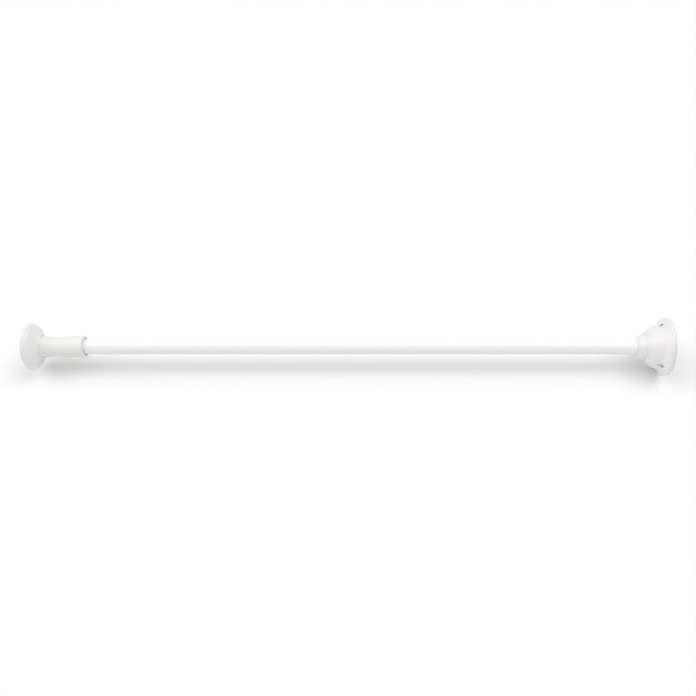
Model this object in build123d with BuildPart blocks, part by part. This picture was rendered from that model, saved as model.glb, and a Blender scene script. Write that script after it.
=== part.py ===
from build123d import *
import os

# A telescopic curtain rod for clamping between two walls, pushed fully together.
# X runs along the rod. The wall face of the bell flange is at X = 0 and faces +X, and the
# rod runs away from it towards -X, through the twist grip, to the rubber foot for the other wall.
# The rod's axis is Y = Z = 0. All sizes are in millimetres.

# ---- driving dimensions ----
TOTAL_LENGTH = 1025.0  # wall face to foot face, pushed together
TUBE_RADIUS = 12.5  # outer tube, outside
TUBE_WALL = 0.8
INNER_TUBE_RADIUS = 10.8
BELL_RADIUS = 47.0
BELL_DEPTH = 36.7  # wall face to the front of the dome
FOOT_RADIUS = 36.8
SLEEVE_LENGTH = 70.8
SPINDLE_RADIUS = 6.0
JACK_TRAVEL = 20.0  # how far the foot screws out
PAD_THICKNESS = 1.2  # both rubber pads
SEAT_GAP = 0.3  # between pieces that move past each other
FIT_GAP = 0.1  # between pieces that are pushed together

# ---- worked out from them ----
TUBE_BORE = TUBE_RADIUS - TUBE_WALL
INNER_TUBE_BORE = INNER_TUBE_RADIUS - TUBE_WALL
BACK = -PAD_THICKNESS  # back of the bell's rim, where its pad starts
PLATE_THICKNESS = 2.4
PLATE_FRONT = BACK - PLATE_THICKNESS
TUBE_END = PLATE_FRONT - 1.2  # the outer tube's end inside the bell
FOOT_FACE = -TOTAL_LENGTH
FOOT_BACK = FOOT_FACE + PAD_THICKNESS
FOOT_FRONT = FOOT_FACE + 22.2  # the foot's hub
HUB_RECESS = 3.4  # the grip starts in a shallow recess of the hub
SLEEVE_LEFT = FOOT_FRONT - HUB_RECESS + SEAT_GAP
SLEEVE_MOUTH = SLEEVE_LEFT + SLEEVE_LENGTH
TUBE_MOUTH = SLEEVE_LEFT + 30.7  # the outer tube's open end, inside the grip
FLANGE_LEFT = TUBE_MOUTH - 12.0  # thrust flange of the jack housing
FLANGE_RIGHT = FLANGE_LEFT + 5.0
INNER_TAIL = -62.0  # the inner tube's end deep inside the outer tube

# screw wells of the bell
WELL_COUNT = 3
WELL_START = 67.0  # degrees from +Y towards +Z
WELL_CIRCLE = 36.6  # radius of the circle that the wells lie on
WELL_RADIUS = 3.5
WELL_WALL = 2.0
WELL_FLOOR = 1.8
SCREW_HOLE_RADIUS = 2.1

os.makedirs("parts", exist_ok=True)


def ring_section(left, right, inner, outer):
    """Rectangle in the X-radius half plane: the section of a plain turned ring."""
    with Locations(((left + right) / 2, (inner + outer) / 2)):
        Rectangle(right - left, outer - inner)


def round_corner(sketch, corner, radius):
    """Round the corner of a turned profile that lies nearest to a point."""
    fillet(sketch.vertices().sort_by_distance((corner[0], corner[1], 0))[0], radius)


def save(builder, name):
    """Label a finished piece and write it as one STEP file."""
    builder.part.label = name
    export_step(builder.part, f"parts/{name}.step")


# ======================= bell flange =======================

# The hollow behind the bell's wall, less the three screw bosses that stand in it.
CAVITY_RADIUS = 44.2
SOCKET_RADIUS = 15.1  # outside of the short inner sleeve that steadies the tube
DOME_SLOPE = (7.0, 3.4)  # run and rise of the dome's straight skirt
with BuildPart() as bell_hollow:
    with BuildSketch(Plane.XZ):
        with BuildLine():
            Polyline(
                (1, 0),
                (-26, 0),
                (-26, SOCKET_RADIUS),
                (-31.9, SOCKET_RADIUS),
                (-31.9, 23.6),
            )
            TangentArc((-21.1, 31.4), (-31.9, 23.6), tangent=(-DOME_SLOPE[0], -DOME_SLOPE[1]))
            Polyline((-21.1, 31.4), (-14.4, 34.7), (-4.9, CAVITY_RADIUS), (1, CAVITY_RADIUS), (1, 0))
        make_face()
    revolve(axis=Axis.X)
    with BuildSketch(Plane.YZ.offset(-BELL_DEPTH)):
        with PolarLocations(WELL_CIRCLE, WELL_COUNT, start_angle=WELL_START):
            Circle(WELL_RADIUS + WELL_WALL)
    extrude(amount=BELL_DEPTH + PLATE_FRONT, mode=Mode.SUBTRACT)

# The moulded bell: a dome behind the collar that flares out to a short straight rim.
RIM_FRONT = -5.8
DOME_FRONT_RADIUS = 22.6
SKIRT_START = (-22.0, 33.4)
FLARE_START = (-15.0, 36.8)
COLLAR_SEAT_RADIUS = 17.6
COLLAR_SEAT_DEPTH = 4.0
with BuildPart() as bell_flange:
    with BuildSketch(Plane.XZ) as profile:
        with BuildLine():
            Line((-BELL_DEPTH, 0), (-BELL_DEPTH, DOME_FRONT_RADIUS))
            TangentArc(
                SKIRT_START,
                (-BELL_DEPTH, DOME_FRONT_RADIUS),
                tangent=(-DOME_SLOPE[0], -DOME_SLOPE[1]),
            )
            Polyline(
                SKIRT_START,
                FLARE_START,
                (RIM_FRONT, BELL_RADIUS - 0.3),
                (BACK, BELL_RADIUS),
                (BACK, 0),
                (-BELL_DEPTH, 0),
            )
        make_face()
        round_corner(profile, FLARE_START, 6.0)
        round_corner(profile, (RIM_FRONT, BELL_RADIUS - 0.3), 1.4)
        round_corner(profile, (-BELL_DEPTH, DOME_FRONT_RADIUS), 0.3)
        round_corner(profile, (BACK, BELL_RADIUS), 0.5)
    revolve(axis=Axis.X)
    add(bell_hollow.part, mode=Mode.SUBTRACT)
    # through bore for the tube, and the seat of the neck collar's tongue
    with BuildSketch(Plane.YZ.offset(-BELL_DEPTH)):
        Circle(TUBE_RADIUS + FIT_GAP)
    extrude(amount=BELL_DEPTH, mode=Mode.SUBTRACT)
    with BuildSketch(Plane.YZ.offset(-BELL_DEPTH)):
        Circle(COLLAR_SEAT_RADIUS)
    extrude(amount=COLLAR_SEAT_DEPTH, mode=Mode.SUBTRACT)
    # screw wells, open towards the room, and the screw holes in their floors
    with BuildSketch(Plane.YZ.offset(-BELL_DEPTH)):
        with PolarLocations(WELL_CIRCLE, WELL_COUNT, start_angle=WELL_START):
            Circle(WELL_RADIUS)
    extrude(amount=BELL_DEPTH + PLATE_FRONT - WELL_FLOOR, mode=Mode.SUBTRACT)
    with BuildSketch(Plane.YZ.offset(-BELL_DEPTH)):
        with PolarLocations(WELL_CIRCLE, WELL_COUNT, start_angle=WELL_START):
            Circle(SCREW_HOLE_RADIUS)
    extrude(amount=BELL_DEPTH, mode=Mode.SUBTRACT)
save(bell_flange, "bell_flange")

# The base plate closes the bell from behind. Six ribs on its front stiffen it round the
# tube's end, and a countersunk hole in its middle takes the spigot's screw.
PLATE_RADIUS = CAVITY_RADIUS - FIT_GAP
RIB_THICKNESS = 2.0
RIB_HEIGHT = 5.0
RIB_COUNT = 6
RIB_INNER = 14.5
RIB_OUTER = 29.0
CENTRE_HOLE_RADIUS = 2.6
SINK_RADIUS = 4.9
SINK_DEPTH = 1.8
with BuildPart() as base_plate:
    with BuildSketch(Plane.XZ):
        with BuildLine():
            Polyline(
                (PLATE_FRONT, CENTRE_HOLE_RADIUS),
                (PLATE_FRONT, PLATE_RADIUS),
                (BACK, PLATE_RADIUS),
                (BACK, SINK_RADIUS),
                (BACK - SINK_DEPTH, CENTRE_HOLE_RADIUS),
                (PLATE_FRONT, CENTRE_HOLE_RADIUS),
            )
        make_face()
    revolve(axis=Axis.X)
    with BuildSketch(Plane.YZ.offset(PLATE_FRONT - RIB_HEIGHT)):
        with PolarLocations((RIB_INNER + RIB_OUTER) / 2, RIB_COUNT, start_angle=WELL_START + 30):
            Rectangle(RIB_OUTER - RIB_INNER, RIB_THICKNESS)
    extrude(amount=RIB_HEIGHT + PLATE_THICKNESS / 2)
    with BuildSketch(Plane.YZ.offset(PLATE_FRONT)):
        with PolarLocations(WELL_CIRCLE, WELL_COUNT, start_angle=WELL_START):
            Circle(SCREW_HOLE_RADIUS)
    extrude(amount=PLATE_THICKNESS, mode=Mode.SUBTRACT)
save(base_plate, "base_plate")

# Spigot: a cup that fills the tube's end and stands on the base plate.
SPIGOT_RADIUS = TUBE_BORE - FIT_GAP
SPIGOT_BORE = 8.0
SPIGOT_FLOOR = 5.0
SPIGOT_END = -34.0
SOCKET_SCREW_X = -16.0
SCREW_SHANK_RADIUS = 1.5
CENTRE_PILOT_RADIUS = 2.35
with BuildPart() as tube_spigot:
    with BuildSketch(Plane.XZ) as profile:
        ring_section(SPIGOT_END, PLATE_FRONT, SPIGOT_BORE, SPIGOT_RADIUS)
        ring_section(PLATE_FRONT - SPIGOT_FLOOR, PLATE_FRONT, CENTRE_PILOT_RADIUS, SPIGOT_RADIUS)
        round_corner(profile, (SPIGOT_END, SPIGOT_RADIUS), 1.0)
    revolve(axis=Axis.X)
    # pilot holes for the two screws that pin the tube to the spigot
    with BuildSketch(Plane.XY.offset(-TUBE_RADIUS)):
        with Locations((SOCKET_SCREW_X, 0)):
            Circle(SCREW_SHANK_RADIUS + 0.05)
    extrude(amount=2 * TUBE_RADIUS, mode=Mode.SUBTRACT)
save(tube_spigot, "tube_spigot")

# Countersunk screw from behind the plate into the spigot's floor.
with BuildPart() as spigot_screw:
    with BuildSketch(Plane.XZ):
        with BuildLine():
            head_edge = SINK_RADIUS - 0.5
            shank = CENTRE_PILOT_RADIUS - 0.05
            Polyline(
                (BACK - 0.2, 0),
                (BACK - 0.2, head_edge),
                (BACK - SINK_DEPTH - 0.1, shank),
                (PLATE_FRONT - SPIGOT_FLOOR - 3.0, shank),
                (PLATE_FRONT - SPIGOT_FLOOR - 5.0, 0),
                (BACK - 0.2, 0),
            )
        make_face()
    revolve(axis=Axis.X)
    with BuildSketch(Plane.YZ.offset(BACK)):
        Rectangle(5.0, 1.0)
        Rectangle(1.0, 5.0)
    extrude(amount=-1.6, mode=Mode.SUBTRACT)
save(spigot_screw, "spigot_screw")

# Soft pad on the wall face, with a hole at each screw and three shallow grip grooves.
GROOVE_WIDTH = 2.0
GROOVE_DEPTH = 0.5
GROOVE_RADII = (12.0, 20.0, 28.0)
with BuildPart() as wall_pad:
    with BuildSketch(Plane.XZ) as profile:
        ring_section(BACK, 0, 0, BELL_RADIUS - 0.5)
        round_corner(profile, (0, BELL_RADIUS - 0.5), 0.4)
    revolve(axis=Axis.X)
    with BuildSketch(Plane.XZ):
        for groove_radius in GROOVE_RADII:
            ring_section(-GROOVE_DEPTH, 0, groove_radius, groove_radius + GROOVE_WIDTH)
    revolve(axis=Axis.X, mode=Mode.SUBTRACT)
    with BuildSketch(Plane.YZ.offset(BACK)):
        with PolarLocations(WELL_CIRCLE, WELL_COUNT, start_angle=WELL_START):
            Circle(SCREW_HOLE_RADIUS)
    extrude(amount=PAD_THICKNESS, mode=Mode.SUBTRACT)
save(wall_pad, "wall_pad")

# Conical collar round the tube in front of the dome. Its tongue sits in the dome's mouth
# and leaves a narrow groove between the two.
COLLAR_BACK = -BELL_DEPTH - FIT_GAP
COLLAR_FRONT = -49.0
COLLAR_RADIUS = 22.5
with BuildPart() as neck_collar:
    with BuildSketch(Plane.XZ) as profile:
        with BuildLine():
            bore = TUBE_RADIUS + FIT_GAP
            tongue = COLLAR_SEAT_RADIUS - FIT_GAP
            tongue_end = -BELL_DEPTH + COLLAR_SEAT_DEPTH - FIT_GAP
            Polyline(
                (COLLAR_FRONT, bore),
                (COLLAR_FRONT, 14.4),
                (-42.1, 19.7),
                (COLLAR_BACK, COLLAR_RADIUS),
                (COLLAR_BACK, tongue),
                (tongue_end, tongue),
                (tongue_end, bore),
                (COLLAR_FRONT, bore),
            )
        make_face()
        round_corner(profile, (COLLAR_FRONT, 14.4), 1.4)
        round_corner(profile, (-42.1, 19.7), 12.0)
        round_corner(profile, (COLLAR_BACK, COLLAR_RADIUS), 0.3)
    revolve(axis=Axis.X)
save(neck_collar, "neck_collar")

# Outer tube, with the two holes for the socket screws.
with BuildPart() as outer_tube:
    with BuildSketch(Plane.XZ):
        ring_section(TUBE_MOUTH, TUBE_END, TUBE_BORE, TUBE_RADIUS)
    revolve(axis=Axis.X)
    with BuildSketch(Plane.XY.offset(-1.2 * TUBE_RADIUS)):
        with Locations((SOCKET_SCREW_X, 0)):
            Circle(1.6)
    extrude(amount=2.4 * TUBE_RADIUS, mode=Mode.SUBTRACT)
save(outer_tube, "outer_tube")

# Two pan-head screws, above and below, that pin the tube to the spigot.
with BuildPart() as socket_screw:
    with BuildSketch(Plane.XZ):
        with BuildLine():
            Line((0, 8.6), (0, 14.4))
            ThreePointArc((0, 14.4), (1.6, 14.1), (2.7, TUBE_RADIUS + 0.05))
            Polyline(
                (2.7, TUBE_RADIUS + 0.05),
                (SCREW_SHANK_RADIUS, TUBE_RADIUS + 0.05),
                (SCREW_SHANK_RADIUS, 9.6),
                (0, 8.6),
            )
        make_face()
    revolve(axis=Axis.Z)
    with BuildSketch(Plane.XY.offset(14.4)):
        Rectangle(3.2, 0.7)
        Rectangle(0.7, 3.2)
    extrude(amount=-0.9, mode=Mode.SUBTRACT)
with BuildPart() as socket_screws:
    with Locations((SOCKET_SCREW_X, 0, 0)):
        add(socket_screw.part)
    mirror(about=Plane.XY)
save(socket_screws, "socket_screws")

# Nylon bush pressed into the open end of the outer tube, to guide the inner tube.
BUSH_LENGTH = 18.0
with BuildPart() as mouth_bush:
    with BuildSketch(Plane.XZ):
        ring_section(TUBE_MOUTH - 1.2, TUBE_MOUTH, INNER_TUBE_RADIUS + 0.1, TUBE_RADIUS - 0.1)
        ring_section(TUBE_MOUTH - 1.2, TUBE_MOUTH + BUSH_LENGTH, INNER_TUBE_RADIUS + 0.1, TUBE_BORE - 0.02)
    revolve(axis=Axis.X)
save(mouth_bush, "mouth_bush")

# ======================= twist lock =======================

# Eccentric core pressed into the inner tube's tail. Its journal is off centre, so a twist
# of the inner tube drives the ring round it against the outer tube's bore.
ECCENTRICITY = 1.0
JOURNAL_RADIUS = 7.5
RING_WIDTH = 11.4
CORE_FLANGE_RIGHT = INNER_TAIL + 2.0
JOURNAL_RIGHT = CORE_FLANGE_RIGHT + RING_WIDTH + 2 * SEAT_GAP
with BuildPart() as lock_core:
    with BuildSketch(Plane.XZ):
        ring_section(INNER_TAIL - 30, INNER_TAIL, 3.0, INNER_TUBE_BORE - 0.05)
        ring_section(INNER_TAIL, CORE_FLANGE_RIGHT, 3.0, INNER_TUBE_RADIUS)
    revolve(axis=Axis.X)
    with BuildSketch(Plane.YZ.offset(CORE_FLANGE_RIGHT)):
        with Locations((0, ECCENTRICITY)):
            Circle(JOURNAL_RADIUS)
        Circle(1.6, mode=Mode.SUBTRACT)
    extrude(amount=JOURNAL_RIGHT - CORE_FLANGE_RIGHT)
    with BuildSketch(Plane.YZ.offset(CORE_FLANGE_RIGHT)):
        Circle(1.6)
    extrude(amount=-6, mode=Mode.SUBTRACT)
    with BuildSketch(Plane.XY.offset(-INNER_TUBE_RADIUS)):
        with Locations((INNER_TAIL - 15, 0)):
            Circle(1.5)
    extrude(amount=2 * INNER_TUBE_RADIUS, mode=Mode.SUBTRACT)
save(lock_core, "lock_core")

# Nylon friction ring, split at its thin side, off centre like the journal inside it.
with BuildPart() as lock_ring:
    with BuildSketch(Plane.YZ.offset(CORE_FLANGE_RIGHT + SEAT_GAP)):
        Circle(TUBE_BORE - 0.1)
        with Locations((0, ECCENTRICITY)):
            Circle(JOURNAL_RADIUS + 0.45, mode=Mode.SUBTRACT)
        with Locations((0, TUBE_BORE)):
            Rectangle(2.4, 12, mode=Mode.SUBTRACT)
    extrude(amount=RING_WIDTH)
save(lock_ring, "lock_ring")

# Washer and screw that keep the ring on the journal.
WASHER_THICKNESS = 1.2
with BuildPart() as lock_washer:
    with BuildSketch(Plane.XZ):
        ring_section(JOURNAL_RIGHT, JOURNAL_RIGHT + WASHER_THICKNESS, 1.8, 10.2)
    revolve(axis=Axis.X)
save(lock_washer, "lock_washer")

LOCK_SCREW_HEAD = JOURNAL_RIGHT + WASHER_THICKNESS
with BuildPart() as lock_screw:
    with BuildSketch(Plane.XZ) as profile:
        ring_section(LOCK_SCREW_HEAD, LOCK_SCREW_HEAD + 2.2, 0, 3.2)
        round_corner(profile, (LOCK_SCREW_HEAD + 2.2, 3.2), 1.2)
        ring_section(CORE_FLANGE_RIGHT - 4, LOCK_SCREW_HEAD, 0, 1.5)
    revolve(axis=Axis.X)
    with BuildSketch(Plane.YZ.offset(LOCK_SCREW_HEAD + 2.2)):
        Rectangle(3.6, 0.8)
        Rectangle(0.8, 3.6)
    extrude(amount=-1.2, mode=Mode.SUBTRACT)
save(lock_screw, "lock_screw")

# Inner tube, drilled at both ends for the rivets of its two plugs.
HOUSING_RIVET_X = FLANGE_RIGHT + 22.0
CORE_RIVET_X = INNER_TAIL - 15.0
with BuildPart() as inner_tube:
    with BuildSketch(Plane.XZ):
        ring_section(FLANGE_RIGHT, INNER_TAIL, INNER_TUBE_BORE, INNER_TUBE_RADIUS)
    revolve(axis=Axis.X)
    with BuildSketch(Plane.XY.offset(-1.2 * INNER_TUBE_RADIUS)):
        with Locations((HOUSING_RIVET_X, 0), (CORE_RIVET_X, 0)):
            Circle(1.5)
    extrude(amount=2.4 * INNER_TUBE_RADIUS, mode=Mode.SUBTRACT)
save(inner_tube, "inner_tube")

# Flush rivets: a pair through the core, and a pair through the jack housing's wall.
with BuildPart() as core_rivets:
    with BuildSketch(Plane.XY.offset(-INNER_TUBE_RADIUS + 0.1)):
        with Locations((CORE_RIVET_X, 0)):
            Circle(1.45)
    extrude(amount=6.5)
    mirror(about=Plane.XY)
save(core_rivets, "core_rivets")

with BuildPart() as housing_rivets:
    with BuildSketch(Plane.XY.offset(-INNER_TUBE_RADIUS + 0.1)):
        with Locations((HOUSING_RIVET_X, 0)):
            Circle(1.45)
    extrude(amount=3.6)
    mirror(about=Plane.XY)
save(housing_rivets, "housing_rivets")

# ======================= screw jack in the grip =======================

# The housing plugs the inner tube. Its flange takes the grip's thrust, and its flatted
# bore stops the spindle from turning.
FLANGE_RADIUS = 12.8
FLAT_HALF = 4.5  # half the spindle's width across its flats
PLUG_END = FLANGE_RIGHT + 32.0
with BuildPart() as jack_housing:
    with BuildSketch(Plane.XZ):
        ring_section(FLANGE_LEFT, FLANGE_RIGHT, 0, FLANGE_RADIUS)
        ring_section(FLANGE_RIGHT, PLUG_END, 0, INNER_TUBE_BORE - 0.05)
    revolve(axis=Axis.X)
    with BuildSketch(Plane.YZ.offset(FLANGE_LEFT)):
        Circle(SPINDLE_RADIUS + 0.1)
        Rectangle(4 * SPINDLE_RADIUS, 2 * (FLAT_HALF + 0.1), mode=Mode.INTERSECT)
    extrude(amount=PLUG_END - FLANGE_LEFT, mode=Mode.SUBTRACT)
    with BuildSketch(Plane.XY.offset(-INNER_TUBE_RADIUS)):
        with Locations((HOUSING_RIVET_X, 0)):
            Circle(1.5)
    extrude(amount=2 * INNER_TUBE_RADIUS, mode=Mode.SUBTRACT)
save(jack_housing, "jack_housing")

# Spindle: a trapezoidal-thread screw with two flats, at its thread's outer diameter.
SPINDLE_LEFT = FOOT_BACK + 6.0
SPINDLE_RIGHT = FLANGE_RIGHT + JACK_TRAVEL + 6.0  # still guided when fully out
with BuildPart() as spindle:
    with BuildSketch(Plane.XZ) as profile:
        ring_section(SPINDLE_LEFT, SPINDLE_RIGHT, 0, SPINDLE_RADIUS)
        round_corner(profile, (SPINDLE_RIGHT, SPINDLE_RADIUS), 1.0)
    revolve(axis=Axis.X)
    with BuildSketch(Plane.YZ.offset(SPINDLE_LEFT)):
        Rectangle(4 * SPINDLE_RADIUS, 2 * FLAT_HALF)
    extrude(amount=SPINDLE_RIGHT - SPINDLE_LEFT, mode=Mode.INTERSECT)
    with BuildSketch(Plane.YZ.offset(SPINDLE_LEFT)):
        Circle(1.7)
    extrude(amount=14, mode=Mode.SUBTRACT)
save(spindle, "spindle")

# Grip nut: runs on the spindle and is splined into the grip sleeve.
NUT_LEFT = SLEEVE_LEFT + 2.4
NUT_RIGHT = FLANGE_LEFT - 1.2
SPLINE_COUNT = 6
NUT_RADIUS = 12.3
SPLINE_WIDTH = 4.0
with BuildPart() as grip_nut:
    with BuildSketch(Plane.YZ.offset(NUT_LEFT)):
        Circle(NUT_RADIUS)
        with PolarLocations(NUT_RADIUS - 0.8, SPLINE_COUNT):
            Rectangle(4.0, SPLINE_WIDTH)
        Circle(SPINDLE_RADIUS + 0.1, mode=Mode.SUBTRACT)
    extrude(amount=NUT_RIGHT - NUT_LEFT)
save(grip_nut, "grip_nut")

# Grip sleeve: waisted hand grip, closed but for the spindle hole at the foot's end, wide
# enough at its mouth to slide over the outer tube.
SLEEVE_LEFT_RADIUS = 18.1
SLEEVE_WAIST_RADIUS = 15.45
SLEEVE_MOUTH_RADIUS = 17.75
SLEEVE_BORE = 13.6
RING_SEAT = FLANGE_RIGHT + 0.3
RING_THICKNESS = 1.0
with BuildPart() as grip_sleeve:
    with BuildSketch(Plane.XZ) as profile:
        with BuildLine():
            Line((SLEEVE_LEFT, 0), (SLEEVE_LEFT, SLEEVE_LEFT_RADIUS))
            Spline(
                (SLEEVE_LEFT, SLEEVE_LEFT_RADIUS),
                (SLEEVE_LEFT + 12.5, 16.6),
                (SLEEVE_LEFT + 23.5, SLEEVE_WAIST_RADIUS),
                (SLEEVE_LEFT + 37.5, 16.7),
                (SLEEVE_LEFT + 50.0, 17.4),
                (SLEEVE_MOUTH, SLEEVE_MOUTH_RADIUS),
                tangents=[(1, -0.05), (1, 0.01)],
            )
            Polyline((SLEEVE_MOUTH, SLEEVE_MOUTH_RADIUS), (SLEEVE_MOUTH, 0), (SLEEVE_LEFT, 0))
        make_face()
        round_corner(profile, (SLEEVE_LEFT, SLEEVE_LEFT_RADIUS), 0.5)
        round_corner(profile, (SLEEVE_MOUTH, SLEEVE_MOUTH_RADIUS), 2.4)
    revolve(axis=Axis.X)
    # spindle hole, nut chamber, groove of the retaining ring, and the bore over the tube
    with BuildSketch(Plane.XZ) as bore_section:
        ring_section(SLEEVE_LEFT, NUT_LEFT, 0, SPINDLE_RADIUS + 1.0)
        ring_section(NUT_LEFT, RING_SEAT, 0, FLANGE_RADIUS + 0.3)
        ring_section(RING_SEAT, RING_SEAT + RING_THICKNESS + 0.1, 0, 14.7)
        ring_section(RING_SEAT, SLEEVE_MOUTH, 0, SLEEVE_BORE)
    revolve(axis=Axis.X, mode=Mode.SUBTRACT)
    with BuildSketch(Plane.YZ.offset(NUT_LEFT)):
        with PolarLocations(NUT_RADIUS - 0.7, SPLINE_COUNT):
            Rectangle(4.0, SPLINE_WIDTH + 0.2)
    extrude(amount=NUT_RIGHT - NUT_LEFT, mode=Mode.SUBTRACT)
save(grip_sleeve, "grip_sleeve")

# Steel washer between the nut and the housing's flange.
with BuildPart() as thrust_washer:
    with BuildSketch(Plane.XZ):
        ring_section(NUT_RIGHT, NUT_RIGHT + 0.9, SPINDLE_RADIUS + 0.6, 12.6)
    revolve(axis=Axis.X)
save(thrust_washer, "thrust_washer")

# Retaining ring behind the flange, split so that it springs into its groove.
with BuildPart() as retaining_ring:
    with BuildSketch(Plane.YZ.offset(RING_SEAT + 0.05)):
        Circle(14.6)
        Circle(11.6, mode=Mode.SUBTRACT)
        with Locations((0, 13)):
            Rectangle(5.0, 6.0, mode=Mode.SUBTRACT)
    extrude(amount=RING_THICKNESS)
save(retaining_ring, "retaining_ring")

# ======================= foot =======================

FOOT_RIM_FRONT = FOOT_BACK + 4.8
FOOT_FACE_EDGE = FOOT_FACE + 11.0
FOOT_EDGE_RADIUS = 33.1
FOOT_HUB_RADIUS = 20.0
HUB_LIP_RADIUS = 18.9
HUB_RECESS_RADIUS = 18.35
FOOT_SCREW_SEAT = 4.2
CORING_FRONT = FOOT_FRONT - HUB_RECESS - 2.2

# The disc's back is cored out between its rim and its hub, with eight ribs left standing.
with BuildPart() as foot_coring:
    with BuildSketch(Plane.XZ):
        with BuildLine():
            Polyline(
                (FOOT_BACK, 10.5),
                (FOOT_BACK, FOOT_RADIUS - 3.2),
                (FOOT_RIM_FRONT, FOOT_RADIUS - 3.2),
                (FOOT_FACE_EDGE - 2.6, FOOT_EDGE_RADIUS - 2.0),
                (CORING_FRONT, HUB_RECESS_RADIUS - 1.4),
                (CORING_FRONT, 10.5),
                (FOOT_BACK, 10.5),
            )
        make_face()
    revolve(axis=Axis.X)
    with BuildSketch(Plane.YZ.offset(FOOT_BACK)):
        with PolarLocations(FOOT_RADIUS / 2, 8):
            Rectangle(FOOT_RADIUS, 1.8)
    extrude(amount=FOOT_FRONT - FOOT_BACK, mode=Mode.SUBTRACT)

# Moulded disc with a rounded rim and a shallow cone up to its hub.
with BuildPart() as foot_disc:
    with BuildSketch(Plane.XZ) as profile:
        with BuildLine():
            Polyline(
                (FOOT_BACK, 0),
                (FOOT_BACK, FOOT_RADIUS),
                (FOOT_RIM_FRONT, FOOT_RADIUS),
                (FOOT_FACE_EDGE, FOOT_EDGE_RADIUS),
                (FOOT_FRONT - HUB_RECESS, FOOT_HUB_RADIUS),
                (FOOT_FRONT, HUB_LIP_RADIUS),
                (FOOT_FRONT, 0),
                (FOOT_BACK, 0),
            )
        make_face()
        round_corner(profile, (FOOT_BACK, FOOT_RADIUS), 0.6)
        round_corner(profile, (FOOT_RIM_FRONT, FOOT_RADIUS), 2.0)
        round_corner(profile, (FOOT_FACE_EDGE, FOOT_EDGE_RADIUS), 0.4)
        round_corner(profile, (FOOT_FRONT, HUB_LIP_RADIUS), 0.3)
    revolve(axis=Axis.X)
    add(foot_coring.part, mode=Mode.SUBTRACT)
    # recess round the grip's end
    with BuildSketch(Plane.YZ.offset(FOOT_FRONT - HUB_RECESS)):
        Circle(HUB_RECESS_RADIUS)
    extrude(amount=HUB_RECESS, mode=Mode.SUBTRACT)
    # flatted socket for the spindle, the screw's hole and the seat of its head
    with BuildSketch(Plane.YZ.offset(SPINDLE_LEFT)):
        Circle(SPINDLE_RADIUS + 0.05)
        Rectangle(4 * SPINDLE_RADIUS, 2 * (FLAT_HALF + 0.05), mode=Mode.INTERSECT)
    extrude(amount=FOOT_FRONT - SPINDLE_LEFT, mode=Mode.SUBTRACT)
    with BuildSketch(Plane.YZ.offset(FOOT_BACK)):
        Circle(2.2)
    extrude(amount=10, mode=Mode.SUBTRACT)
    with BuildSketch(Plane.YZ.offset(FOOT_BACK)):
        Circle(5.4)
    extrude(amount=FOOT_SCREW_SEAT, mode=Mode.SUBTRACT)
save(foot_disc, "foot_disc")

# Screw and washer that hold the disc on the spindle, under the pad.
with BuildPart() as foot_washer:
    with BuildSketch(Plane.XZ):
        ring_section(FOOT_BACK + FOOT_SCREW_SEAT - 0.9, FOOT_BACK + FOOT_SCREW_SEAT, 2.2, 5.2)
    revolve(axis=Axis.X)
save(foot_washer, "foot_washer")

FOOT_SCREW_HEAD = FOOT_BACK + FOOT_SCREW_SEAT - 0.9
with BuildPart() as foot_screw:
    with BuildSketch(Plane.XZ) as profile:
        ring_section(FOOT_SCREW_HEAD - 2.4, FOOT_SCREW_HEAD, 0, 3.9)
        round_corner(profile, (FOOT_SCREW_HEAD - 2.4, 3.9), 1.3)
        ring_section(FOOT_SCREW_HEAD, FOOT_SCREW_HEAD + 15, 0, 1.65)
    revolve(axis=Axis.X)
    with BuildSketch(Plane.YZ.offset(FOOT_SCREW_HEAD - 2.4)):
        Rectangle(4.4, 0.9)
        Rectangle(0.9, 4.4)
    extrude(amount=1.3, mode=Mode.SUBTRACT)
save(foot_screw, "foot_screw")

# Soft pad on the foot's wall face, cut with three shallow grip grooves.
FOOT_PAD_RADIUS = FOOT_RADIUS - 2.2
with BuildPart() as foot_pad:
    with BuildSketch(Plane.XZ) as profile:
        ring_section(FOOT_FACE, FOOT_BACK, 0, FOOT_PAD_RADIUS)
        round_corner(profile, (FOOT_FACE, FOOT_PAD_RADIUS), 0.4)
    revolve(axis=Axis.X)
    with BuildSketch(Plane.XZ):
        for groove_radius in GROOVE_RADII:
            ring_section(FOOT_FACE, FOOT_FACE + GROOVE_DEPTH, groove_radius, groove_radius + GROOVE_WIDTH)
    revolve(axis=Axis.X, mode=Mode.SUBTRACT)
save(foot_pad, "foot_pad")
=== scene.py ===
import math

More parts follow.
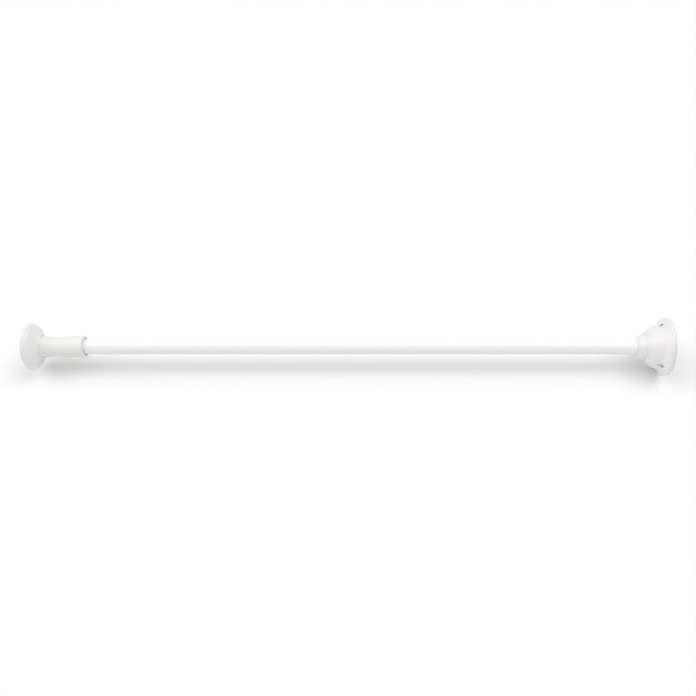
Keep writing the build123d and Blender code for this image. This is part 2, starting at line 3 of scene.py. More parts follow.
import bpy
import numpy as np
from mathutils import Euler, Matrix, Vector


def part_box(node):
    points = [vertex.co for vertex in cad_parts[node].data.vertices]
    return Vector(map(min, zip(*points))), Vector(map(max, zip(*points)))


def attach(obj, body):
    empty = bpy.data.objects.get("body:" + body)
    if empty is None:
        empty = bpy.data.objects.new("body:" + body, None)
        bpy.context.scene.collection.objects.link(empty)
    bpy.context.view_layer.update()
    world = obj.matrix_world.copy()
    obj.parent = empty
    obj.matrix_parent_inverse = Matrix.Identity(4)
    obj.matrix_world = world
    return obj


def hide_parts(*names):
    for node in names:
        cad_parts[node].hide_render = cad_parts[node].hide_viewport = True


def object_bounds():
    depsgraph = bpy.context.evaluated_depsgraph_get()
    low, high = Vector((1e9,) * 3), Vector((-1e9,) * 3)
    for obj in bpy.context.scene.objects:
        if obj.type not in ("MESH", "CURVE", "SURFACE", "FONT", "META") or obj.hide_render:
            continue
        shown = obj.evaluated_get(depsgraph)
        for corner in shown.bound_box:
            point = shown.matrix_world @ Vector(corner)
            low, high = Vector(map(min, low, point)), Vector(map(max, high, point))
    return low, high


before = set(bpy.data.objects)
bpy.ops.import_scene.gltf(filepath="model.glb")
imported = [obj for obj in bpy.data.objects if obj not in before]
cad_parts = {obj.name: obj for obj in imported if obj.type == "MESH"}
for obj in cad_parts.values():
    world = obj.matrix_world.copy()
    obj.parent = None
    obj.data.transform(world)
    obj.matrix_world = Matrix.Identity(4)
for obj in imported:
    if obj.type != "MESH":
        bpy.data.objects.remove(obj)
cad_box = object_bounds()

# ---------------------------------------------------------------------------------------------
# Camera. It looks down on the rod from the front, square to it, so the rod lies level across
# the frame. It stands opposite a point a little to the right of the rod's middle.
# ---------------------------------------------------------------------------------------------
MM = 0.001
ELEVATION = math.radians(51.6)
STAND_OFF = 1.153
STATION_X = -445 * MM  # opposite this point of the rod
AIM_DROP = 63.5 * MM  # how far below the rod's axis the lens axis passes
FOCAL_IN_FRAMES = 1.0273  # focal length over the frame's width
SENSOR = 36.0

towards_camera = Vector((0, -math.cos(ELEVATION), math.sin(ELEVATION)))
frame_up = Vector((0, math.sin(ELEVATION), math.cos(ELEVATION)))
camera_data = bpy.data.cameras.new("camera")
camera_data.sensor_width = SENSOR
camera_data.lens = SENSOR * FOCAL_IN_FRAMES
camera_data.shift_x = -0.0603
camera_data.shift_y = 0.0546
camera = bpy.data.objects.new("camera", camera_data)
camera.location = Vector((STATION_X, 0, 0)) + STAND_OFF * towards_camera - AIM_DROP * frame_up
camera.rotation_euler = Euler((math.pi / 2 - ELEVATION, 0, 0))
bpy.context.scene.collection.objects.link(camera)
bpy.context.scene.camera = camera

# ---------------------------------------------------------------------------------------------
# Table and light. A matt white sheet lies just under the bell. A white ceiling, two broad
# panels beside the zenith and a low window on either side light it; the white room fills in.
# ---------------------------------------------------------------------------------------------
bpy.context.scene.view_settings.view_transform = "Standard"


def colour(code):
    """An sRGB hex code as linear red, green, blue and alpha.

    A channel c becomes c / 12.92 up to 0.04045, and ((c + 0.055) / 1.055) ^ 2.4 above it."""
    channels = [int(code[i : i + 2], 16) / 255 for i in (0, 2, 4)]
    return (*[c / 12.92 if c <= 0.04045 else ((c + 0.055) / 1.055) ** 2.4 for c in channels], 1.0)


def add_node(tree, kind, inputs=None, **settings):
    """Add one shader node. Settings are its properties.

    Inputs are its sockets, each given a value or the socket that feeds it."""
    node = tree.nodes.new(kind)
    for key, value in settings.items():
        setattr(node, key, value)
    for key, value in (inputs or {}).items():
        if isinstance(value, bpy.types.NodeSocket):
            tree.links.new(value, node.inputs[key])
        else:
            node.inputs[key].default_value = value
    return node


def new_material(name):
    """A material with only its output node left in it."""
    material = bpy.data.materials.new(name)
    material.use_nodes = True
    material.node_tree.nodes.clear()
    output = add_node(material.node_tree, "ShaderNodeOutputMaterial")
    return material, material.node_tree, output


def studio_sheet():
    """Matt white paper: no gloss, so the shadows on it stay soft and even."""
    material, tree, output = new_material("studio_sheet")
    shader = add_node(
        tree,
        "ShaderNodeBsdfPrincipled",
        {"Base Color": colour("EFEFEF"), "Roughness": 1.0, "Specular IOR Level": 0.0},
    )
    tree.links.new(shader.outputs["BSDF"], output.inputs["Surface"])
    return material


TABLE_DROP = 0.3 * MM
table_z = cad_box[0][2] - TABLE_DROP
table_mesh = bpy.data.meshes.new("table")
corners = [(-6, -5, table_z), (6, -5, table_z), (6, 7, table_z), (-6, 7, table_z)]
table_mesh.from_pydata(corners, [], [(0, 1, 2, 3)])
table_mesh.materials.append(studio_sheet())
table = bpy.data.objects.new("table", table_mesh)
bpy.context.scene.collection.objects.link(table)

world = bpy.data.worlds.new("room")
bpy.context.scene.world = world
world.use_nodes = True
world.node_tree.nodes["Background"].inputs["Color"].default_value = (1.0, 1.0, 1.0, 1.0)
world.node_tree.nodes["Background"].inputs["Strength"].default_value = 0.49


def softbox(name, place, aim, width, depth, watts):
    """A rectangular area light at a place, its width along X, turned to face a point."""
    data = bpy.data.lights.new(name, "AREA")
    data.shape = "RECTANGLE"
    data.size = width
    data.size_y = depth
    data.energy = watts
    light = bpy.data.objects.new(name, data)
    light.location = place
    light.rotation_euler = (Vector(aim) - Vector(place)).to_track_quat("-Z", "Y").to_euler()
    bpy.context.scene.collection.objects.link(light)


softbox("ceiling_panel", (-0.5, 0.3, 3.0), (-0.5, 0.3, 0), 7.0, 7.0, 68.0)


SUN_BACK = 0.05  # every panel stands a little behind the rod: its distance back over its height


def soft_sun(name, lean, width, strength):
    """Even light from a disc of the sky, its width in degrees, that leans from the zenith towards +X."""
    data = bpy.data.lights.new(name, "SUN")
    data.energy = strength
    data.angle = math.radians(width)
    light = bpy.data.objects.new(name, data)
    way = Vector((-math.tan(math.radians(lean)), -SUN_BACK, -1.0))
    light.rotation_euler = way.to_track_quat("-Z", "Y").to_euler()
    bpy.context.scene.collection.objects.link(light)


soft_sun("left_panel", -28, 38, 0.24)
soft_sun("right_panel", 28, 38, 0.72)
soft_sun("left_window", -62, 50, 0.8)
soft_sun("right_window", 62, 50, 0.18)

# ---------------------------------------------------------------------------------------------
# Outer tube. Rolled and welded steel tube, 25 mm across with a 0.8 mm wall, cut square and
# coated all over in gloss white powder. Its closed end is screwed to the spigot in the bell.
# ---------------------------------------------------------------------------------------------


def round_outline(corners, longest, closed=True):
    """Outline in the X-radius plane, in metres, from corners (x, radius, rounding) in millimetres.

    Each corner with a rounding is replaced by the arc that touches both its sides: the arc starts and ends at
    rounding * tan(turn / 2) from the corner. Straight runs are divided so that no step is over the longest.
    A short step beside each arc keeps the shading of the flat next to it flat."""
    count = len(corners)
    points = []
    for i, (x, r, rounding) in enumerate(corners):
        here = np.array((x, r), float)
        if rounding == 0 or (not closed and i in (0, count - 1)):
            points.append(here)
            continue
        before = np.array(corners[i - 1][:2], float) - here
        after = np.array(corners[(i + 1) % count][:2], float) - here
        before /= np.linalg.norm(before)
        after /= np.linalg.norm(after)
        turn = math.pi - math.acos(np.clip(before @ after, -1, 1))
        reach = rounding * math.tan(turn / 2)
        centre = here + (before + after) / np.linalg.norm(before + after) * rounding / math.cos(turn / 2)
        start = here + before * reach - centre
        end = here + after * reach - centre
        steps = max(3, int(math.ceil(math.degrees(turn) / 10)))
        share = np.linspace(0, 1, steps + 1)[:, None]
        arc = (np.sin((1 - share) * turn) * start + np.sin(share * turn) * end) / math.sin(turn) + centre
        support = min(0.12, 0.3 * rounding)
        points.extend([here + before * (reach + support), *arc, here + after * (reach + support)])
    if closed:
        points.append(points[0])
    outline = [points[0]]
    for a, b in zip(points, points[1:]):
        steps = max(1, int(math.ceil(np.linalg.norm(b - a) / longest)))
        outline.extend(a + (b - a) * k / steps for k in range(1, steps + 1))
    return np.array(outline[:-1] if closed else outline) * MM


def solid_mesh(name, points, quads, triangles=()):
    """Mesh object from whole arrays, shaded smooth.

    If its signed volume is negative, its faces are turned round, so that they point outwards."""
    quads = np.asarray(quads).reshape(-1, 4)
    triangles = np.asarray(triangles, int).reshape(-1, 3)
    halves = np.concatenate([quads[:, [0, 1, 2]], quads[:, [0, 2, 3]], triangles])
    a, b, c = points[halves[:, 0]], points[halves[:, 1]], points[halves[:, 2]]
    if np.einsum("ij,ij->", a, np.cross(b, c)) < 0:
        quads = quads[:, ::-1]
        triangles = triangles[:, ::-1]
    mesh = bpy.data.meshes.new(name)
    mesh.from_pydata(points.tolist(), [], quads.tolist() + triangles.tolist())
    mesh.polygons.foreach_set("use_smooth", np.ones(len(mesh.polygons), bool))
    mesh.update()
    piece = bpy.data.objects.new(name, mesh)
    bpy.context.scene.collection.objects.link(piece)
    return piece


def plain_round(x, r, angle):
    """A circle about the X axis: (x, r cos a, r sin a)."""
    return x, r * np.cos(angle), r * np.sin(angle)


def turned(name, outline, segments, closed=True, shape=plain_round):
    """Surface of revolution about the X axis: an outline point (x, r) goes round as shape(x, r, a).

    A closed outline gives a ring. An open one starts and ends on the axis, and each end is one pole point."""
    angle = np.linspace(0, 2 * math.pi, segments, endpoint=False)
    x, r = outline[:, :1], outline[:, 1:]
    grid = np.stack(np.broadcast_arrays(*shape(x, r, angle)), axis=-1)
    rows = len(outline)
    index = np.arange(rows * segments).reshape(rows, segments)
    if closed:
        index = np.vstack([index, index[:1]])
        quads = grid_quads(index)
        return solid_mesh(name, grid.reshape(-1, 3), quads)
    index = index[1:-1] - segments
    points = np.concatenate([grid[1:-1].reshape(-1, 3), grid[:1, 0], grid[-1:, 0]])
    first, last = len(points) - 2, len(points) - 1
    around = np.roll(index, -1, axis=1)
    caps = np.concatenate(
        [
            np.stack([np.full(segments, first), index[0], around[0]], axis=1),
            np.stack([np.full(segments, last), around[-1], index[-1]], axis=1),
        ]
    )
    return solid_mesh(name, points, grid_quads(index), caps)


def grid_quads(index):
    """Quads between the rows of an index grid whose columns close on themselves."""
    around = np.roll(index, -1, axis=1)
    return np.stack([index[:-1], index[1:], around[1:], around[:-1]], axis=-1).reshape(-1, 4)


def finish(piece, body, material, slot, *nodes):
    """Give a piece its material and body, and hide the CAD nodes that it stands for. The slot is not used."""
    piece.data.materials.clear()
    piece.data.materials.append(material)
    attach(piece, body)
    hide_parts(*nodes)


def tube_outline(node, wall, edge):
    """Closed outline of a plain tube that fills a CAD node's box, with its four edges eased."""
    low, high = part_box(node)
    left, right, radius = low.x / MM, high.x / MM, high.z / MM
    bore = radius - wall
    corners = [(left, radius, edge), (right, radius, edge), (right, bore, edge), (left, bore, edge)]
    return round_outline(corners, 20)


def powder_coat():
    """Gloss polyester powder on steel: sprayed, then melted smooth. It leaves a faint orange peel about 2 mm
    across, which breaks the edge of a highlight, and the gloss varies a little along the tube."""
    material, tree, output = new_material("white_powder_coat")
    place = add_node(tree, "ShaderNodeTexCoord").outputs["Object"]
    peel = add_node(tree, "ShaderNodeTexNoise", {"Vector": place, "Scale": 1 / (2.2 * MM), "Detail": 1.0})
    drift = add_node(tree, "ShaderNodeTexNoise", {"Vector": place, "Scale": 1 / (90 * MM), "Detail": 2.0})
    tint = add_node(
        tree,
        "ShaderNodeMix",
        {"Factor": drift.outputs["Fac"], "A": colour("EEEEEE"), "B": colour("F1F1F1")},
        data_type="RGBA",
    )
    gloss = add_node(
        tree,
        "ShaderNodeMapRange",
        {"Value": drift.outputs["Fac"], "From Min": 0.3, "From Max": 0.7, "To Min": 0.16, "To Max": 0.24},
    )
    relief = add_node(
        tree, "ShaderNodeBump", {"Height": peel.outputs["Fac"], "Strength": 0.25, "Distance": 0.02 * MM}
    )
    shader = add_node(
        tree,
        "ShaderNodeBsdfPrincipled",
        {
            "Base Color": tint.outputs["Result"],
            "Roughness": gloss.outputs["Result"],
            "Normal": relief.outputs["Normal"],
            "IOR": 1.5,
        },
    )
    tree.links.new(shader.outputs["BSDF"], output.inputs["Surface"])
    return material


TUBE_SEGMENTS = 160
coat = powder_coat()
outer_tube = turned("outer_tube_skin", tube_outline("outer_tube", 0.8, 0.2), TUBE_SEGMENTS)
finish(outer_tube, "flange", coat, "white_powder_coat", "outer_tube")

# ---------------------------------------------------------------------------------------------
# Bell flange. Injection-moulded ABS in a cool white, one dome that flares out to a thin rim.
# Three wells sink through the flare for the wall screws. The base plate closes it from behind.
# ---------------------------------------------------------------------------------------------


def moulded_abs(name, darker, lighter, satin, glossy, grain_mm, grain_height_mm):
    """Injection-moulded ABS. The mould's surface gives it a fine even grain, and its gloss and its colour
    drift a little where the melt met the mould first. Rubbed edges shine more than the rest."""
    material, tree, output = new_material(name)
    place = add_node(tree, "ShaderNodeTexCoord").outputs["Object"]
    grain = add_node(
        tree, "ShaderNodeTexNoise", {"Vector": place, "Scale": 1 / (grain_mm * MM), "Detail": 2.0}
    )
    flow = add_node(tree, "ShaderNodeTexNoise", {"Vector": place, "Scale": 1 / (25 * MM), "Detail": 2.0})
    tint = add_node(
        tree,
        "ShaderNodeMix",
        {"Factor": flow.outputs["Fac"], "A": colour(darker), "B": colour(lighter)},
        data_type="RGBA",
    )
    rubbed = add_node(tree, "ShaderNodeNewGeometry").outputs["Pointiness"]
    edge = add_node(
        tree,
        "ShaderNodeMapRange",
        {"Value": rubbed, "From Min": 0.5, "From Max": 0.6, "To Min": 0.0, "To Max": -0.08},
    )
    gloss = add_node(
        tree,
        "ShaderNodeMapRange",
        {"Value": flow.outputs["Fac"], "From Min": 0.3, "From Max": 0.7, "To Min": glossy, "To Max": satin},
    )
    roughness = add_node(tree, "ShaderNodeMath", {0: gloss.outputs["Result"], 1: edge.outputs["Result"]})
    relief = add_node(
        tree,
        "ShaderNodeBump",
        {"Height": grain.outputs["Fac"], "Strength": 0.3, "Distance": grain_height_mm * MM},
    )
    shader = add_node(
        tree,
        "ShaderNodeBsdfPrincipled",
        {
            "Base Color": tint.outputs["Result"],
            "Roughness": roughness.outputs["Value"],
            "Normal": relief.outputs["Normal"],
            "IOR": 1.53,
            "Subsurface Weight": 0.04,
            "Subsurface Scale": 1.5 * MM,
        },
    )
    tree.links.new(shader.outputs["BSDF"], output.inputs["Surface"])
    return material


def tangent_arc(start, direction, end, steps):
    """Points (x, radius, no rounding) along the arc that leaves the start in a direction and ends at the end.

    Its radius is the chord squared over twice the chord's part along the normal."""
    start, end = np.array(start, float), np.array(end, float)
    along = np.array(direction, float) / np.linalg.norm(direction)
    normal = np.array((-along[1], along[0]))
    chord = end - start
    radius = chord @ chord / (2 * chord @ normal)
    turn = 2 * math.atan2(chord @ normal, chord @ along)
    share = np.linspace(0, turn, steps + 1)[:, None]
    arc = start + radius * (np.sin(share) * along + (1 - np.cos(share)) * normal)
    return [(x, r, 0) for x, r in arc]


BELL_COLUMNS = 360  # one a degree, so each well sits on a column
WELL_ANGLES = (67, 187, 307)  # degrees from +Y towards +Z
WELL_CIRCLE = 36.6
WELL_RADIUS = 3.5
WELL_LIP = 0.3  # rounding where the well cuts the flare
WELL_FLOOR = -5.4
SCREW_HOLE = 2.1
NOSE_RADIUS = 22.6  # flat front of the dome, which the collar meets
TONGUE_SEAT = 17.6
TUBE_HOLE = 12.6
PLATE_SEAT = 44.2
PLATE_FRONT = -3.6
BLOCK = 22  # rows and columns of the square patch that holds a well
FRONT_BLOCK = (29.8, 43.4)  # radii that the patch spans, on the flare and on the back
BACK_BLOCK = (30.8, 42.4)


def bell_front(box):
    """Outline of the bell from the collar's seat over the dome, the flare and the rim to the plate's seat."""
    front, back, rim = box[0].x / MM, box[1].x / MM, box[1].z / MM
    skirt, flare = (-22.0, 33.4), (-15.0, 36.8)
    slope = (skirt[0] - flare[0], skirt[1] - flare[1])
    dome = tangent_arc(skirt, slope, (front, NOSE_RADIUS), 20)[::-1]
    corners = [
        (front + 4.0, TUBE_HOLE, 0),
        (front + 4.0, TONGUE_SEAT, 0.2),
        (front, TONGUE_SEAT, 0.3),
        (front, NOSE_RADIUS, 0.3),
        *dome[1:],
        (*flare, 6.0),
        (-5.8, rim - 0.25, 1.4),
        (back, rim + 0.03, 0.5),
        (back, PLATE_SEAT, 0.2),
        (PLATE_FRONT, PLATE_SEAT, 0),
    ]
    return round_outline(corners, 0.7, closed=False)


def ring_quads(outer, inner):
    """Quads between two loops of the same count."""
    return np.stack([outer, inner, np.roll(inner, -1), np.roll(outer, -1)], axis=-1)


def block_loop(block):
    """The indices round the border of a square block, row by row and back."""
    return np.concatenate([block[0, :-1], block[:-1, -1], block[-1, :0:-1], block[:0:-1, 0]])


def bell_skin():
    """Bell as one closed skin of revolution, x = h(r), with three screw wells.

    Round each well a square block of cells is left out. Loops run from its border to the well's circle in
    straight shares, x = h(distance from the axis), then over a quarter-round lip, down the wall, across the
    floor and through the screw hole, and back out to a like block on the plate's seat."""
    front = bell_front(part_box("bell_flange")) / MM
    seat = int(np.argmax(front[:, 1] > NOSE_RADIUS - 0.3))
    top = int(np.argmax(front[:, 1]))
    radii = np.linspace(*FRONT_BLOCK, BLOCK + 1)
    height = lambda r: np.interp(r, front[seat : top + 1, 1], front[seat : top + 1, 0])
    inside, outside = front[:, 1] < FRONT_BLOCK[0] - 0.2, front[:, 1] > FRONT_BLOCK[1] + 0.2
    after = np.arange(len(front)) > top
    back_radii = np.linspace(*BACK_BLOCK[::-1], BLOCK + 1)
    cavity = [(-21.1, 30.6), (-26.5, 28.3), (-31.9, 23.6), (-31.9, 15.1), (-26.0, 15.1), (-26.0, TUBE_HOLE)]
    lead = front[inside & ~after]
    outline = np.concatenate(
        [
            lead,
            np.stack([height(radii), radii], axis=1),
            front[outside | after],
            np.stack([np.full(BLOCK + 1, PLATE_FRONT), back_radii], axis=1),
            cavity,
        ]
    )
    first_front = len(lead)
    first_back = len(outline) - len(cavity) - BLOCK - 1
    angle = np.radians(np.arange(BELL_COLUMNS))
    x, r = outline[:, :1], outline[:, 1:]
    points = [np.stack(np.broadcast_arrays(x, r * np.cos(angle), r * np.sin(angle)), axis=-1).reshape(-1, 3)]
    index = np.arange(len(outline) * BELL_COLUMNS).reshape(len(outline), BELL_COLUMNS)
    cells = np.ones(index.shape, bool)
    quads = []
    count = len(points[0])
    for degrees in WELL_ANGLES:
        left = degrees - BLOCK // 2
        centre = WELL_CIRCLE * np.array((math.cos(math.radians(degrees)), math.sin(math.radians(degrees))))
        across = slice(left, left + BLOCK)
        cells[first_front : first_front + BLOCK, across] = False
        cells[first_back : first_back + BLOCK, across] = False
        border = block_loop(index[first_front : first_front + BLOCK + 1, left : left + BLOCK + 1])
        back_border = block_loop(index[first_back : first_back + BLOCK + 1, left : left + BLOCK + 1][::-1])
        edge, back_edge = points[0][border][:, 1:], points[0][back_border][:, 1:]
        spokes = edge - centre
        spokes /= np.linalg.norm(spokes, axis=1)[:, None]
        loops = []
        circle = centre + (WELL_RADIUS + WELL_LIP) * spokes
        for share in np.linspace(0, 1, 12)[1:]:
            place = edge + (circle - edge) * share
            loops.append((height(np.linalg.norm(place, axis=1)), place))
        for lip in np.linspace(0, math.pi / 2, 6)[1:]:
            place = centre + (WELL_RADIUS + WELL_LIP * (1 - math.sin(lip))) * spokes
            loops.append((height(np.linalg.norm(place, axis=1)) + WELL_LIP * (1 - math.cos(lip)), place))
        mouth = loops[-1][0]
        for share in (*np.linspace(0, 0.97, 14)[1:], 1.0):
            loops.append((mouth + (WELL_FLOOR - mouth) * share, centre + WELL_RADIUS * spokes))
        for radius in (WELL_RADIUS - 0.15, 2.8, SCREW_HOLE + 0.15, SCREW_HOLE):
            loops.append((np.full(len(edge), WELL_FLOOR), centre + radius * spokes))
        for depth in (WELL_FLOOR + 0.15, PLATE_FRONT - 0.15, PLATE_FRONT):
            loops.append((np.full(len(edge), depth), centre + SCREW_HOLE * spokes))
        before = border
        for depth, place in loops:
            points.append(np.column_stack([depth, place]))
            here = np.arange(count, count + len(place))
            count += len(place)
            quads.append(ring_quads(before, here))
            before = here
        hole, before = before, back_border
        rim = centre + SCREW_HOLE * spokes
        for share in np.linspace(0, 1, 6)[1:-1]:
            place = back_edge + (rim - back_edge) * share
            points.append(np.column_stack([np.full(len(place), PLATE_FRONT), place]))
            here = np.arange(count, count + len(place))
            count += len(place)
            quads.append(ring_quads(before, here)[:, ::-1])
            before = here
        quads.append(ring_quads(before, hole)[:, ::-1])
    quads.append(grid_quads(np.vstack([index, index[:1]]))[cells.reshape(-1)])
    return solid_mesh("bell_skin", np.concatenate(points) * MM, np.concatenate(quads))


bell_white = moulded_abs("cool_white_abs", "E2E0E1", "E6E4E4", 0.36, 0.26, 0.5, 0.008)
bell = bell_skin()
finish(bell, "flange", bell_white, "white_moulding", "bell_flange")

# ---------------------------------------------------------------------------------------------
# Neck collar. A small cone of the same ABS that is pushed over the tube into the dome's mouth.
# It hides the tube's joint and leaves a hairline groove in front of the dome.
# ---------------------------------------------------------------------------------------------


HAIRLINE = 0.1


def collar_outline():
    """Closed outline: a cone with a soft shoulder, and the tongue that sits in the dome's mouth."""
    low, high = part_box("neck_collar")
    front, tongue = low.x / MM, high.x / MM
    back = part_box("bell_flange")[0].x / MM - HAIRLINE
    corners = [
        (front, TUBE_HOLE, 0.3),
        (front, 14.4, 1.4),
        (-42.1, 19.7, 12.0),
        (back, NOSE_RADIUS - 0.1, 0.3),
        (back, TONGUE_SEAT - 0.1, 0.2),
        (tongue, TONGUE_SEAT - 0.1, 0.3),
        (tongue, TUBE_HOLE, 0.2),
    ]
    return round_outline(corners, 0.9)


collar = turned("neck_collar_skin", collar_outline(), 240)
finish(collar, "flange", bell_white, "white_moulding", "neck_collar")

# ---------------------------------------------------------------------------------------------
# Base plate, spigot and bush. Unpigmented nylon with glass fibre, off the mould with no polish.
# They stay as the CAD model has them: the plate behind the bell, the spigot and bush in the tube.
# ---------------------------------------------------------------------------------------------


def natural_nylon():
    """Natural nylon: milky off-white with light passing a little way in, dull, with a faint cloudy flow
    pattern about 8 mm across and a fine sandy skin from the glass fibre."""
    material, tree, output = new_material("natural_nylon")
    place = add_node(tree, "ShaderNodeTexCoord").outputs["Object"]
    cloud = add_node(tree, "ShaderNodeTexNoise", {"Vector": place, "Scale": 1 / (8 * MM), "Detail": 3.0})
    fibre = add_node(tree, "ShaderNodeTexNoise", {"Vector": place, "Scale": 1 / (0.4 * MM), "Detail": 2.0})
    tint = add_node(
        tree,
        "ShaderNodeMix",
        {"Factor": cloud.outputs["Fac"], "A": colour("DEDAC9"), "B": colour("EAE7DA")},
        data_type="RGBA",
    )
    gloss = add_node(
        tree,
        "ShaderNodeMapRange",
        {"Value": fibre.outputs["Fac"], "From Min": 0.3, "From Max": 0.7, "To Min": 0.42, "To Max": 0.6},
    )
    relief = add_node(
        tree, "ShaderNodeBump", {"Height": fibre.outputs["Fac"], "Strength": 0.4, "Distance": 0.02 * MM}
    )
    shader = add_node(
        tree,
        "ShaderNodeBsdfPrincipled",
        {
            "Base Color": tint.outputs["Result"],
            "Roughness": gloss.outputs["Result"],
            "Normal": relief.outputs["Normal"],
            "IOR": 1.53,
            "Subsurface Weight": 0.25,
            "Subsurface Scale": 2.0 * MM,
        },
    )
    tree.links.new(shader.outputs["BSDF"], output.inputs["Surface"])
    return material


def dress(material, *nodes):
    """Give kept CAD nodes a material through their own slots."""
    for name in nodes:
        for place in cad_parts[name].material_slots:
            place.material = material


nylon = natural_nylon()
dress(nylon, "base_plate", "tube_spigot", "mouth_bush")

# ---------------------------------------------------------------------------------------------
# Wall pad and foot pad. Die-cut discs of pale thermoplastic rubber, glued on, with three rings
# pressed into the face so that they grip the wall. They stay as the CAD model has them.
# ---------------------------------------------------------------------------------------------


def soft_rubber():
    """Thermoplastic rubber: pale grey, dull and slightly see-through, with the powdery bloom of handled
    rubber in patches about 6 mm across and a fine cast texture."""
    material, tree, output = new_material("pale_soft_rubber")
    place = add_node(tree, "ShaderNodeTexCoord").outputs["Object"]
    bloom = add_node(tree, "ShaderNodeTexNoise", {"Vector": place, "Scale": 1 / (6 * MM), "Detail": 4.0})
    cast = add_node(tree, "ShaderNodeTexNoise", {"Vector": place, "Scale": 1 / (0.5 * MM), "Detail": 2.0})
    tint = add_node(
        tree,
        "ShaderNodeMix",
        {"Factor": bloom.outputs["Fac"], "A": colour("C9C9C6"), "B": colour("D8D8D6")},
        data_type="RGBA",
    )
    gloss = add_node(
        tree,
        "ShaderNodeMapRange",
        {"Value": bloom.outputs["Fac"], "From Min": 0.3, "From Max": 0.7, "To Min": 0.55, "To Max": 0.8},
    )
    relief = add_node(
        tree, "ShaderNodeBump", {"Height": cast.outputs["Fac"], "Strength": 0.5, "Distance": 0.03 * MM}
    )
    shader = add_node(
        tree,
        "ShaderNodeBsdfPrincipled",
        {
            "Base Color": tint.outputs["Result"],
            "Roughness": gloss.outputs["Result"],
            "Normal": relief.outputs["Normal"],
            "Subsurface Weight": 0.3,
            "Subsurface Scale": 1.0 * MM,
        },
    )
    tree.links.new(shader.outputs["BSDF"], output.inputs["Surface"])
    return material


dress(soft_rubber(), "wall_pad", "foot_pad")

# ---------------------------------------------------------------------------------------------
# Screws, washers, rivets and the retaining ring. Cold-formed steel with bright zinc plate.
# They stay as the CAD model has them.
# ---------------------------------------------------------------------------------------------


def bright_zinc():
    """Bright zinc plate on turned or cold-formed steel: a cool silver with fine rings round the rod's axis
    from the tool, about 0.3 mm apart, and cloudier patches where the passivation has dulled."""
    material, tree, output = new_material("bright_zinc_plate")
    place = add_node(tree, "ShaderNodeTexCoord").outputs["Object"]
    rings = add_node(
        tree, "ShaderNodeMapping", {"Vector": place, "Scale": (1 / (0.3 * MM), 1 / (6 * MM), 1 / (6 * MM))}
    )
    tool = add_node(
        tree, "ShaderNodeTexNoise", {"Vector": rings.outputs["Vector"], "Scale": 1.0, "Detail": 2.0}
    )
    cloud = add_node(tree, "ShaderNodeTexNoise", {"Vector": place, "Scale": 1 / (3 * MM), "Detail": 3.0})
    tint = add_node(
        tree,
        "ShaderNodeMix",
        {"Factor": cloud.outputs["Fac"], "A": colour("B9BDC2"), "B": colour("D3D6DA")},
        data_type="RGBA",
    )
    gloss = add_node(
        tree,
        "ShaderNodeMapRange",
        {"Value": cloud.outputs["Fac"], "From Min": 0.3, "From Max": 0.7, "To Min": 0.2, "To Max": 0.42},
    )
    relief = add_node(
        tree, "ShaderNodeBump", {"Height": tool.outputs["Fac"], "Strength": 0.3, "Distance": 0.01 * MM}
    )
    shader = add_node(
        tree,
        "ShaderNodeBsdfPrincipled",
        {
            "Base Color": tint.outputs["Result"],
            "Metallic": 1.0,
            "Roughness": gloss.outputs["Result"],
            "Normal": relief.outputs["Normal"],
        },
    )
    tree.links.new(shader.outputs["BSDF"], output.inputs["Surface"])
    return material


zinc = bright_zinc()
dress(zinc, "socket_screws", "spigot_screw", "lock_washer", "lock_screw", "core_rivets", "housing_rivets")
dress(zinc, "thrust_washer", "retaining_ring", "foot_washer", "foot_screw")

# ---------------------------------------------------------------------------------------------
# Inner tube, twist lock and jack housing. The tube is powder coated like the outer one; the
# eccentric core, its split ring and the housing are nylon. They stay as the CAD model has them.
# ---------------------------------------------------------------------------------------------
dress(coat, "inner_tube")
dress(nylon, "lock_core", "lock_ring", "jack_housing", "grip_nut")

# ---------------------------------------------------------------------------------------------
# Spindle. A rolled two-start trapezoidal screw with two flats, in zinc-plated steel. It runs
# through the grip nut into the jack housing, and the foot is screwed to its end.
# ---------------------------------------------------------------------------------------------
THREAD_PITCH = 2.5  # two starts, so one turn moves the foot 5 mm
THREAD_DEPTH = 1.1
PLAIN_LEFT = 8.0  # no thread where the foot's socket holds the spindle
PLAIN_RIGHT = 1.5
FADE = 2.0
FLAT_HALF = 4.5
TAPPED_DEPTH = 14.0  # hole in the end for the foot's screw
TAPPED_RADIUS = 1.7


def spindle_skin():
    """Screw: r = outside radius less the depth times a trapezoid wave of (x / pitch + 2 a / (2 pi)), then
    both sides cut flat at z = +-4.5 mm. The thread fades out over 2 mm at either end."""
    low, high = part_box("spindle")
    left, right, radius = low.x / MM, high.x / MM, high.y / MM
    corners = [
        (left + TAPPED_DEPTH, 0, 0),
        (left + TAPPED_DEPTH, TAPPED_RADIUS, 0.2),
        (left, TAPPED_RADIUS, 0.2),
        (left, radius, 0.3),
        (right, radius, 1.0),
        (right, 0, 0),
    ]
    outline = round_outline(corners, 0.2, closed=False)

    def thread(x, r, angle):
        wave = (x / (THREAD_PITCH * MM) + angle / math.pi) % 1.0
        flank = np.clip(4 * np.abs(wave - 0.5) - 0.5, 0, 1)
        inside = np.minimum(x - (left + PLAIN_LEFT) * MM, (right - PLAIN_RIGHT) * MM - x)
        fade = np.clip(inside / (FADE * MM), 0, 1)
        cut = np.where(r > (radius - 0.05) * MM, THREAD_DEPTH * MM * flank * fade, 0)
        y, z = (r - cut) * np.cos(angle), (r - cut) * np.sin(angle)
        return x, y, np.clip(z, -FLAT_HALF * MM, FLAT_HALF * MM)

    return turned("spindle_thread", outline, 96, closed=False, shape=thread)


spindle = spindle_skin()
finish(spindle, "foot", zinc, "zinc_steel", "spindle")

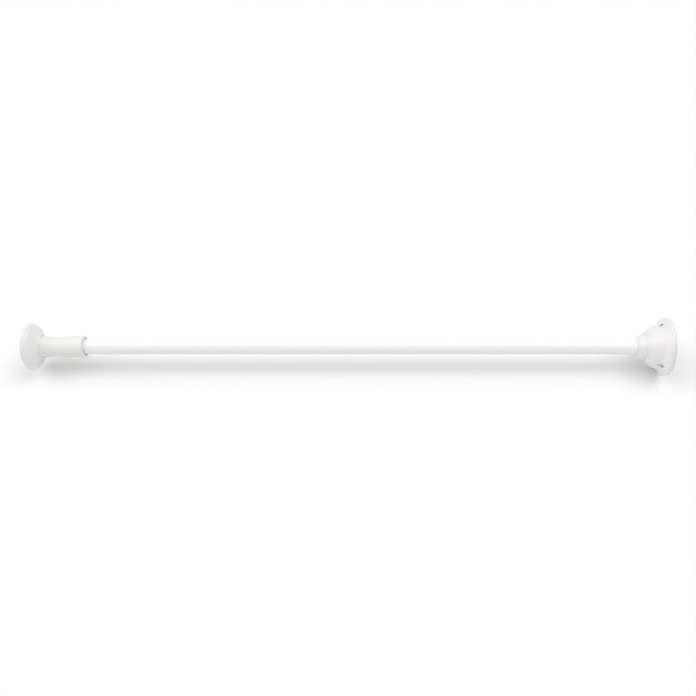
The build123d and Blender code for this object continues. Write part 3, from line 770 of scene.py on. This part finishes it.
# ---------------------------------------------------------------------------------------------
# Grip sleeve. Satin ABS in a slightly warm white, waisted for the hand. It turns the nut on
# the spindle, and its mouth slides over the outer tube.
# ---------------------------------------------------------------------------------------------


def smooth_curve(knots, steps):
    """Curve through knots (x, r) as (x, r, no rounding).

    Its spans are cubics, whose slope at a knot is that of the parabola through it and its two neighbours."""
    knots = np.array(knots, float)
    x, r = knots[:, 0], knots[:, 1]
    slope = np.gradient(r, x)
    curve = []
    for i in range(len(knots) - 1):
        t = np.linspace(0, 1, steps, endpoint=False)
        length = x[i + 1] - x[i]
        start, leave = 2 * t**3 - 3 * t**2 + 1, t**3 - 2 * t**2 + t
        end, arrive = 3 * t**2 - 2 * t**3, t**3 - t**2
        radius = start * r[i] + leave * length * slope[i] + end * r[i + 1] + arrive * length * slope[i + 1]
        curve.extend(zip(x[i] + length * t, radius, np.zeros(steps)))
    return curve


FLARE_RADIUS = 18.1
MOUTH_RADIUS = 17.75
MOUTH_ROUNDING = 2.4
SLEEVE_BORE = 13.6
GROOVE_RADIUS = 14.7
GROOVE_WIDTH = 1.1
SPINDLE_HOLE = 7.0
END_WALL = 2.4


def sleeve_outline():
    """Closed outline. The outside is one smooth curve through the flared end, the waist and the mouth. Inside
    are the spindle's hole, the nut's chamber with the retaining ring's groove, and the bore over the tube."""
    low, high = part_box("grip_sleeve")
    left, right = low.x / MM, high.x / MM
    waist = [(6, 17.6), (12.5, 16.6), (18, 15.8), (23.5, 15.45), (30, 15.75), (37.5, 16.7), (44, 17.2)]
    barrel = [(50, 17.4), (60, 17.6)]
    knots = [(0, FLARE_RADIUS), *waist, *barrel, (right - left, MOUTH_RADIUS)]
    outside = smooth_curve([(left + x, r) for x, r in knots], 8)
    outside = [p for p in outside if left + 1.0 < p[0] < right - MOUTH_ROUNDING - 0.5]
    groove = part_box("retaining_ring")[0].x / MM - 0.05
    corners = [
        (left, SPINDLE_HOLE, 0.4),
        (left, FLARE_RADIUS, 0.5),
        *outside,
        (right, MOUTH_RADIUS, MOUTH_ROUNDING),
        (right, SLEEVE_BORE, 0.3),
        (groove + GROOVE_WIDTH, SLEEVE_BORE, 0),
        (groove + GROOVE_WIDTH, GROOVE_RADIUS, 0),
        (groove, GROOVE_RADIUS, 0),
        (groove, SLEEVE_BORE, 0),
        (left + END_WALL, SLEEVE_BORE, 0.3),
        (left + END_WALL, SPINDLE_HOLE, 0.2),
    ]
    return round_outline(corners, 2.0)


grip_white = moulded_abs("warm_white_abs", "E3E2DF", "E7E6E3", 0.48, 0.38, 0.35, 0.015)
sleeve = turned("grip_sleeve_skin", sleeve_outline(), 200)
finish(sleeve, "grip", grip_white, "warm_white_moulding", "grip_sleeve")

# ---------------------------------------------------------------------------------------------
# Foot. A moulded disc of satin white ABS, a little greyer than the grip, with a rounded rim and
# a shallow cone up to the hub's low lip, which hides the grip's end. Its socket takes the spindle.
# ---------------------------------------------------------------------------------------------


HUB_RECESS = 3.4
RECESS_RADIUS = 18.2
SOCKET_RADIUS = 6.05
SOCKET_FLAT_HALF = 4.55


def foot_outline():
    """Closed outline: rim band, bevel, cone and hub lip outside, the spindle's socket and the screw's seat
    within."""
    low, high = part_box("foot_disc")
    back, front, rim = low.x / MM, high.x / MM, high.z / MM
    face = front - HUB_RECESS
    socket = back + 6.0
    corners = [
        (back, rim, 0.6),
        (back + 4.8, rim, 2.0),
        (back + 9.8, 33.1, 0.4),
        (face, 20.0, 0.3),
        (front, 18.8, 0.3),
        (front, RECESS_RADIUS, 0.2),
        (face, RECESS_RADIUS, 0.2),
        (face, SOCKET_RADIUS, 0.2),
        (socket, SOCKET_RADIUS, 0),
        (socket, 2.2, 0),
        (back + 4.2, 2.2, 0),
        (back + 4.2, 5.4, 0),
        (back, 5.4, 0.2),
    ]
    return round_outline(corners, 1.2)


def socket_flats(x, r, angle):
    """The socket's bore cut flat at z = +-4.55 mm, to hold the spindle's flats."""
    y, z = r * np.cos(angle), r * np.sin(angle)
    bore = np.abs(r - SOCKET_RADIUS * MM) < 0.25 * MM
    return x, y, np.where(bore, np.clip(z, -SOCKET_FLAT_HALF * MM, SOCKET_FLAT_HALF * MM), z)


foot_white = moulded_abs("grey_white_abs", "E2E1E1", "E6E5E5", 0.48, 0.38, 0.35, 0.015)
foot = turned("foot_disc_skin", foot_outline(), 240, shape=socket_flats)
finish(foot, "foot", foot_white, "warm_white_moulding", "foot_disc")
